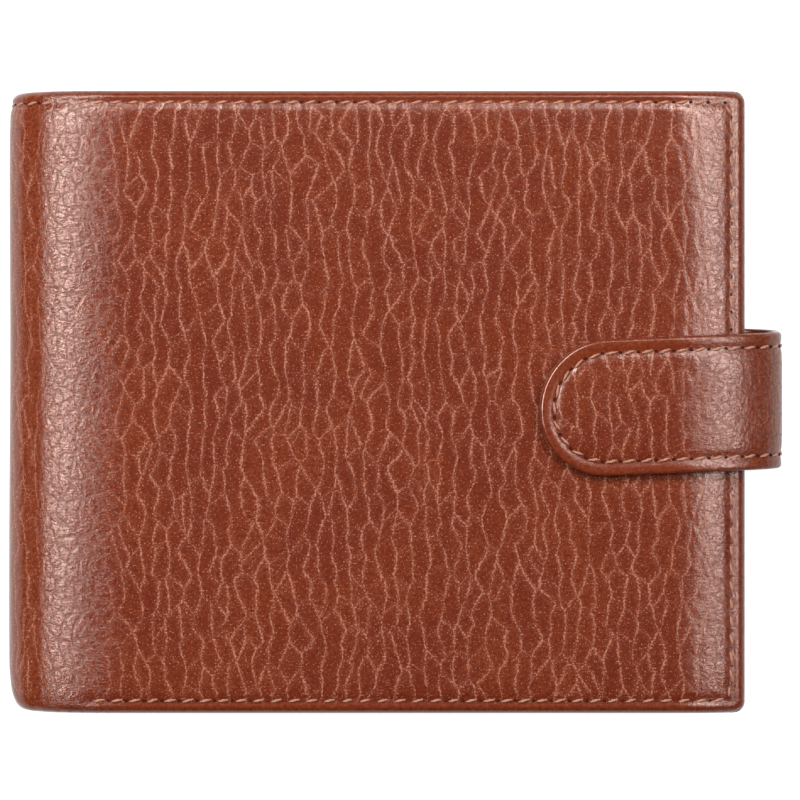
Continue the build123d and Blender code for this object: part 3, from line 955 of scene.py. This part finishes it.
def make_card_pockets():
    """The front half's inner panel and its stepped card pockets, with a row of stitches below each mouth."""
    make_panel("front_panel", "front_inner_panel", True)
    half = Half(True)
    pockets = [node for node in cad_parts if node.startswith("card_pocket_") and node[-1].isdigit()]
    for number in range(1, len(pockets) + 1):
        node = f"card_pocket_{number}"
        make_panel(f"{node}_leather", node, True)
        low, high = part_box(node)
        y = high[1] - 2.0 * MM
        ends = [(half.s_at(low[0] - LEFT + 2 * MM), y), (half.s_at(high[0] - LEFT - 2 * MM), y)]
        depth = node_depths(node, True)[1] + ON_PANEL
        points, up = surface_row(half.place, spaced_along(np.array(ends), FINE_STEP), depth, -1.0)
        nodes = ("card_pocket_thread",) if number == len(pockets) else ()
        row = dress(stitch_row(f"{node}_stitches", points, up, 20 + number), "thread", nodes)
        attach(row, "front_half")


def make_inner_stitches(front):
    """The side and bottom rows of stitches where they come out on the inner panels, at the panels' depth."""
    size = sizes()
    half = Half(front)
    side = "front" if front else "back"
    far, low = half.end - size.stitch_side, size.stitch_bottom - HALF_HEIGHT
    start, cut = half.s_at(size.panel_start + 1.5 * MM), 0.8 * MM
    layers = [f"{side}_inner_panel"]
    corners = [(far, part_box(layers[0])[1][1] - 1 * MM), (far, low + cut), (far - cut, low), (start, low)]
    path = spaced_along(np.array(corners), FINE_STEP)
    if front:
        layers += [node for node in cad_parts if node.startswith("card_pocket_") and node[-1].isdigit()]
    depths = np.zeros(len(path))
    for node in layers:
        covers = path[:, 1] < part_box(node)[1][1]
        depths = np.where(covers, np.maximum(depths, node_depths(node, front)[1]), depths)

    def place(s, y, above):
        return half.place(s, y, np.interp(-y, -path[:, 1], depths) + above)

    points, up = surface_row(place, path, ON_PANEL, -1.0)
    row = dress(stitch_row(f"{side}_inner_stitches", points, up, 31 if front else 32), "thread")
    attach(row, "front_half" if front else "back_half")


def make_coin_pocket():
    """The coin pocket's front: a level sheet with a slow bulge, and stitches along its three closed sides."""
    low, high = (np.array(corner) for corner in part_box("coin_pocket_front"))
    x = graded(low[0], high[0], 80, 0.7)[:, None]
    y = graded(low[1], high[1], 64, 0.7)[None]
    turned = rounded((x - low[0], high[0] - x, y - low[1], high[1] - y), 0.4 * MM)
    across, along = (x - low[0]) / (high[0] - low[0]), (y - low[1]) / (high[1] - low[1])
    bulge = 0.12 * MM * np.sin(np.pi * across) * np.sin(np.pi * along)
    faces = (high[2] - turned + bulge, low[2] + turned + bulge)
    front = slab("coin_pocket_leather", joined, x, y, *faces, (0, 0.9))
    dress(front, "inner_leather", ("coin_pocket_front",))
    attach(front, "back_half")
    left, bottom, right, top = *(low[:2] + 1.6 * MM), *(high[:2] - 1.6 * MM)
    path = spaced_along(np.array([(left, top), (left, bottom), (right, bottom), (right, top)]), FINE_STEP)

    def place(x, y, depth):
        return joined(x, y, high[2] - depth)

    points, up = surface_row(place, path, ON_PANEL)
    row = dress(stitch_row("coin_pocket_stitches", points, up, 41), "thread", ("coin_pocket_thread",))
    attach(row, "back_half")


def make_gusset():
    """The coin pocket's gusset: a wall carried round the pocket's left, bottom and right sides, folded
    inwards halfway up by sin^2."""
    low, high = (np.array(corner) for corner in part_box("coin_pocket_gusset"))
    tall = high[2] - low[2]
    wall, corner, fold = 0.8 * MM, 2.5 * MM, 1.3 * MM
    turn = np.linspace(0, np.pi / 2, 12)
    (x0, y0), (x1, y1) = low[:2], high[:2]
    down = joined(x0, np.linspace(y1, y0 + corner, 20))
    first = joined(x0 + corner * (1 - np.cos(turn)), y0 + corner * (1 - np.sin(turn)))
    second = joined(x1 - corner * (1 - np.sin(turn)), y0 + corner * (1 - np.cos(turn)))
    path = np.concatenate([down[:-1], first, second, (down[::-1] * [0, 1] + [x1, 0])[1:]])
    run = run_along(path)
    heading = unit(np.gradient(path, run, axis=0))

    def place(s, rise, depth):
        x, y, ahead_x, ahead_y = (np.interp(s, run, v) for v in (*path.T, *heading.T))
        inward = depth + fold * np.sin(np.pi * rise / tall) ** 2
        return joined(x - inward * ahead_y, y + inward * ahead_x, low[2] + rise)

    s = graded(0, run[-1], 160, 0.2)[:, None]
    rise = np.linspace(0, tall, 20)[None]
    outer = 0 * s + 0 * rise
    gusset = slab("coin_gusset_leather", place, s, rise, outer, outer + wall, (0, 1.1))
    dress(gusset, "inner_leather", ("coin_pocket_gusset",))
    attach(gusset, "back_half")


def make_flap():
    """The coin flap's two plies and its stitches. Its section runs up from the foot, round a quarter circle
    and down to the tip. It is carried along X, and narrows at the tip by a quarter circle on each side."""
    low, high = (np.array(corner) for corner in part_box("coin_flap_leather"))
    radius, corner, stitch_inset = 3 * MM, 6 * MM, 2 * MM
    turn = np.linspace(0, np.pi / 2, 16)
    up = joined(high[1], np.linspace(low[2], high[2] - radius, 12)[:-1])
    bend = joined(high[1] - radius * (1 - np.cos(turn)), high[2] - radius * (1 - np.sin(turn)))
    out = joined(np.linspace(high[1] - radius, low[1], 60)[1:], high[2])
    section = np.concatenate([up, bend, out])
    run = run_along(section)
    heading = np.gradient(section, run, axis=0)
    middle, half_length = (low[0] + high[0]) / 2, (high[0] - low[0]) / 2

    def place(s, x, depth):
        y, z, ahead_y, ahead_z = (np.interp(s, run, v) for v in (*section.T, *heading.T))
        return joined(x, y - depth * ahead_z, z + depth * ahead_y)

    def ply(name, node, depths, inset):
        s = graded(0, run[-1] - inset, 64, 0.6)[:, None]
        share = graded(-1, 1, 90, 0.8)[None]
        near = np.clip(corner - (run[-1] - inset - s), 0, corner * 0.999)
        half = half_length - inset - corner + np.sqrt(corner**2 - near**2)
        x = middle + share * half
        tip = np.hypot(near, np.clip(np.abs(share) * half - half_length + inset + corner, 0, None))
        edge = nearest(half * (1 - np.abs(share)), np.where(near > 0, corner - tip, 1), run[-1] - inset - s)
        turned = rounded((edge,), (depths[1] - depths[0]) / 2)
        piece = slab(name, place, s + 0 * x, x + 0 * s, depths[0] + turned, depths[1] - turned, (0, 1.3))
        dress(piece, "inner_leather", (node,))
        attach(piece, "coin_flap")

    ply("coin_flap_outer_ply", "coin_flap_leather", (0.0, 0.8 * MM), 0.0)
    ply("coin_flap_inner_ply", "coin_flap_lining", (0.75 * MM, 1.3 * MM), 0.6 * MM)
    path = rounded_end(10 * MM, run[-1] - stitch_inset, half_length - stitch_inset, corner - stitch_inset, 20)
    points, up = surface_row(place, spaced_along(path + [0, middle], FINE_STEP), ON_PANEL)
    row = dress(stitch_row("coin_flap_stitches", points, up, 42), "thread", ("coin_flap_thread",))
    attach(row, "coin_flap")


def rounded_end(start, end, half, radius, steps):
    """s and y of a line that runs from start along -half, round the corners before end and back along
    half."""
    turn = np.linspace(0, np.pi / 2, steps)
    bend = joined(end - radius + radius * np.sin(turn), -half + radius * (1 - np.cos(turn)))
    first = np.array([(start, -half)])
    return np.concatenate([first, bend, (bend * [1, -1])[::-1], first * [1, -1]])


def make_tab():
    """The closing tab: two plies carried along its section with a round tip, each in an arm and a root piece
    that meet halfway down the free edge, and its stitches. The outer ply is drawn in along the stitches."""
    size = sizes()
    strap = Strap()
    over = (TAB_REACH - strap.TURN_LENGTH, 0, TAB_HIGH[2])
    arm = ("tab_wrap", "tab_arm", (TAB_REACH, 0, TAB_HIGH[2] - strap.TURN_DROP), over)
    foot = (TAB_REACH - strap.FOOT_RADIUS, 0, TAB_FOOT)
    root = ("back_half", "tab_wrap", foot, (TAB_REACH, 0, TAB_FOOT + strap.FOOT_RADIUS))
    tip = TAB_RADIUS * (1 - np.cos(np.linspace(0.03, np.pi / 2, 40)))
    arm_s = np.concatenate([tip, np.linspace(TAB_RADIUS, strap.middle, 110)[1:]])
    root_s = np.linspace(strap.middle, strap.end, 60)
    share = np.sin(np.pi / 2 * np.linspace(-1, 1, 64))[None]

    def ply(name, steps, depths, inset, nodes, joint, finish):
        s = np.clip(steps, inset + 0.02 * MM, None)[:, None]
        y = share * strap.half_width(s, inset)
        edge = strap.edge(s, y) - inset
        past_stitches = edge + inset - size.stitch_tab
        outer = depths[0] + rounded((edge,), (depths[1] - depths[0]) / 2)
        if inset == 0:
            outer = outer + 0.22 * MM * bell(past_stitches / (0.7 * MM)) - 0.12 * MM * smooth(edge / (6 * MM))
        inner = depths[1] - rounded((edge,), (depths[1] - depths[0]) / 2)
        # The last trait weights the painted light where the tab turns down over the free edge.
        traits = finish_traits(past_stitches, smooth((s - 31 * MM) / (7 * MM)))
        piece = slab(name, strap.place, s + 0 * y, y, outer, inner, (0.09, 0.3 + inset), traits)
        dress(piece, finish, nodes)
        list(joint)
        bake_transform(piece)

    outer, lining = (0.12 * MM, 1.3 * MM), (1.15 * MM, 2.0 * MM)
    ply("tab_arm_leather", arm_s, outer, 0.0, ("tab_arm_outer",), arm, "outer_leather")
    ply("tab_root_leather", root_s, outer, 0.0, ("tab_wrap_outer", "tab_root"), root, "outer_leather")
    ply("tab_arm_inner_ply", arm_s, lining, 0.7 * MM, ("tab_arm_lining",), arm, "inner_leather")
    ply("tab_root_inner_ply", root_s, lining, 0.7 * MM, ("tab_wrap_lining",), root, "inner_leather")

    def stitches(name, corners, seed, nodes):
        points, up = surface_row(strap.place, spaced_along(corners, FINE_STEP), GROOVE)
        row = dress(stitch_row(name, points, up, seed), "thread", nodes)
        holes = needle_holes(name.replace("stitches", "needle_holes"), points, up)
        dress(holes, "hole", slot="outer_leather")
        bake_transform(row)
        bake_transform(holes)

    half = TAB_RADIUS - size.stitch_tab
    round_tip = -rounded_end(-strap.middle, -size.stitch_tab, half, half, 40)
    stitches("tab_arm_stitches", round_tip, 51, ("tab_arm_thread",))
    for number, y in enumerate((half, -half)):
        line = np.array([(strap.middle, y), (strap.end - 6 * MM, y)])
        nodes = ("tab_wrap_thread",) if number == 0 else ()
        stitches(f"tab_root_stitches_{number + 1}", line, 52 + number, nodes)


# Press studs: piece, CAD node, body, height above the node's foot, and r and z of its profile, in millimetres
STUD = [(0, 0), (3.3, 0), (3.5, 0.12), (3.4, 0.3), (2.2, 0.34), (1.75, 0.5), (1.8, 0.75), (2.1, 0.95)]
STUD += [(2.0, 1.18), (1.5, 1.3), (0.7, 1.25), (0.3, 1.05), (0, 1.02)]
RING = [(0, 0.75), (2.4, 0.75), (2.5, 0.3), (2.8, 0.0), (3.6, -0.12), (4.6, -0.02), (5.0, 0.2), (4.95, 0.7)]
RING += [(2.0, 0.82), (0, 0.82)]
DOME = [(0, 0), (5.3, 0), (5.5, 0.12), (5.35, 0.3), (4.6, 0.5), (3.2, 0.64), (1.6, 0.69), (0, 0.7)]
COIN_STUD = [(0, 0), (1.9, 0), (2.0, 0.15), (1.65, 0.4), (1.7, 0.65), (2.0, 0.85), (1.8, 1.08), (1.0, 1.15)]
COIN_STUD += [(0, 1.0)]
SNAPS = (
    ("closure_stud_head", "closure_stud", "front_half", 0.0, STUD),
    ("closure_socket_ring", "closure_socket", "tab_arm", -0.2, RING),
    ("coin_snap_dome", "coin_snap_cap", "coin_flap", 0.0, DOME),
    ("coin_snap_stud_head", "coin_snap_stud", "back_half", 0.0, COIN_STUD),
)


def make_snaps():
    """Press studs turned on their axes: a stud with a rolled head, a ring socket that stands off the tab's
    lining, and the coin flap's stud and domed cap. The other metal parts keep their CAD shapes."""
    for name, node, body, lift, profile in SNAPS:
        low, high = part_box(node)
        centre = ((low[0] + high[0]) / 2, (low[1] + high[1]) / 2, low[2] + lift * MM)
        piece = revolve(name, centre, np.array(profile) * MM)
        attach(dress(piece, "snap_metal", (node,)), body)
    for node in ("closure_stud_rivet", "closure_socket_cap", "coin_snap_socket", "coin_snap_stud_rivet"):
        paint(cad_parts[node], "snap_metal")


def area_light(name, place, aim, width, power):
    """A soft light 0.66 m long at place, which faces aim."""
    lamp = bpy.data.lights.new(name, "AREA")
    lamp.shape, lamp.size, lamp.size_y, lamp.energy = "RECTANGLE", 0.66, width, power
    light = bpy.data.objects.new(name, lamp)
    light.location = place
    light.rotation_euler = (Vector(aim) - Vector(place)).to_track_quat("-Z", "Y").to_euler()
    bpy.context.scene.collection.objects.link(light)


def make_stage():
    """A pale floor, a narrow and a wide strip light along each side, a weak sky, and a camera that looks
    straight down."""
    scene = bpy.context.scene
    reach = 3.0
    corners = [(-reach, -reach), (reach, -reach), (reach, reach), (-reach, reach)]
    floor = make_object("floor", joined(*np.array(corners).T, -0.05 * MM), [[0, 1, 2, 3]], False)
    nodes = Nodes("floor_paper")
    grain = nodes.noise(nodes.object(), 0.02, 2)
    shade = nodes.mix(grain, (0.13, 0.13, 0.13), (0.14, 0.14, 0.14))
    lit = {"Emission_Color": (1, 1, 1, 1), "Emission_Strength": 0.96}
    floor.data.materials.append(nodes.finish(Base_Color=shade, Roughness=0.9 + 0.05 * grain, **lit))
    floor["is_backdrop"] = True
    left, right = (-0.04, 0.02, 0), (0.04, 0.02, 0)
    area_light("left_strip", (-0.33, 0.20, 0.526), left, 0.11, 8.6)
    area_light("left_glow", (-0.33, 0.20, 0.526), left, 0.24, 1.2)
    area_light("right_strip", (0.30, 0.20, 0.54), right, 0.07, 4.9)
    area_light("right_glow", (0.27, 0.20, 0.54), right, 0.24, 1.3)
    scene.view_settings.view_transform = "Standard"
    scene.world = bpy.data.worlds.new("studio")
    scene.world.use_nodes = True
    sky = scene.world.node_tree.nodes["Background"].inputs
    sky["Color"].default_value, sky["Strength"].default_value = (1, 1, 1, 1), 0.04
    lens = bpy.data.cameras.new("camera")
    distance, view_width = 1.2, 124.5 * MM
    lens.lens = lens.sensor_width * distance / view_width
    lens.clip_start = 0.01
    camera = bpy.data.objects.new("camera", lens)
    camera.location = (LEFT + LENGTH / 2 + 3.7 * MM, 0.3 * MM, THICKNESS + distance)
    scene.collection.objects.link(camera)
    scene.camera = camera


class WALLET_OT_covers(bpy.types.Operator):
    """Build the outer leather of both halves and the spine, with its stitches"""

    bl_idname = "wallet.covers"
    bl_label = "Covers"

    def execute(self, context):
        for front in (True, False):
            make_cover(front)
            make_cover_stitches(front)
        return {"FINISHED"}


class WALLET_OT_linings(bpy.types.Operator):
    """Build the padding, lining cloth and banknote divider of both halves"""

    bl_idname = "wallet.linings"
    bl_label = "Linings"

    def execute(self, context):
        for front in (True, False):
            make_padding(front)
            make_lining(front)
        return {"FINISHED"}


class WALLET_OT_panels(bpy.types.Operator):
    """Build the inner panels and card pockets, with their stitches"""

    bl_idname = "wallet.panels"
    bl_label = "Panels and card pockets"

    def execute(self, context):
        make_card_pockets()
        make_panel("back_panel", "back_inner_panel", False)
        for front in (True, False):
            make_inner_stitches(front)
        return {"FINISHED"}


class WALLET_OT_coin_pocket(bpy.types.Operator):
    """Build the coin pocket, its gusset and its flap"""

    bl_idname = "wallet.coin_pocket"
    bl_label = "Coin pocket"

    def execute(self, context):
        make_coin_pocket()
        make_gusset()
        make_flap()
        return {"FINISHED"}


class WALLET_OT_tab(bpy.types.Operator):
    """Build the closing tab and its stitches"""

    bl_idname = "wallet.tab"
    bl_label = "Closing tab"

    def execute(self, context):
        make_tab()
        return {"FINISHED"}


class WALLET_OT_snaps(bpy.types.Operator):
    """Build the press studs and paint the metal parts of the frame"""

    bl_idname = "wallet.snaps"
    bl_label = "Press studs"

    def execute(self, context):
        make_snaps()
        return {"FINISHED"}


class WALLET_OT_stage(bpy.types.Operator):
    """Set up the floor, lights and camera"""

    bl_idname = "wallet.stage"
    bl_label = "Stage"

    def execute(self, context):
        make_stage()
        return {"FINISHED"}


class WALLET_PT_panel(bpy.types.Panel):
    """Sizes, colours and builders of the wallet"""

    bl_idname = "WALLET_PT_panel"
    bl_label = "Bifold wallet"
    bl_space_type = "VIEW_3D"
    bl_region_type = "UI"
    bl_category = "Wallet"

    def draw(self, context):
        for operator in OPERATORS:
            self.layout.operator(operator.bl_idname)
        for group in (context.scene.wallet_sizes, context.scene.wallet_colours):
            for name in group.bl_rna.properties.keys():
                if name not in ("rna_type", "name"):
                    self.layout.prop(group, name)


OPERATORS = (
    WALLET_OT_stage,
    WALLET_OT_covers,
    WALLET_OT_linings,
    WALLET_OT_panels,
    WALLET_OT_coin_pocket,
    WALLET_OT_tab,
    WALLET_OT_snaps,
)
CLASSES = (WalletSizes, WalletColours, *OPERATORS, WALLET_PT_panel)


def register():
    for cls in CLASSES:
        bpy.utils.register_class(cls)
    bpy.types.Scene.wallet_sizes = bpy.props.PointerProperty(type=WalletSizes)
    bpy.types.Scene.wallet_colours = bpy.props.PointerProperty(type=WalletColours)


def unregister():
    del bpy.types.Scene.wallet_colours
    del bpy.types.Scene.wallet_sizes
    for cls in reversed(CLASSES):
        bpy.utils.unregister_class(cls)


def main():
    register()
    bpy.ops.wallet.stage()
    bpy.ops.wallet.covers()
    bpy.ops.wallet.linings()
    bpy.ops.wallet.panels()
    bpy.ops.wallet.coin_pocket()
    bpy.ops.wallet.tab()
    bpy.ops.wallet.snaps()
    boxes = {"frame": FRAME_BOX, "model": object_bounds()}
    boxes = {name: [[float(value) for value in corner] for corner in box] for name, box in boxes.items()}


if __name__ == "__main__":
    main()
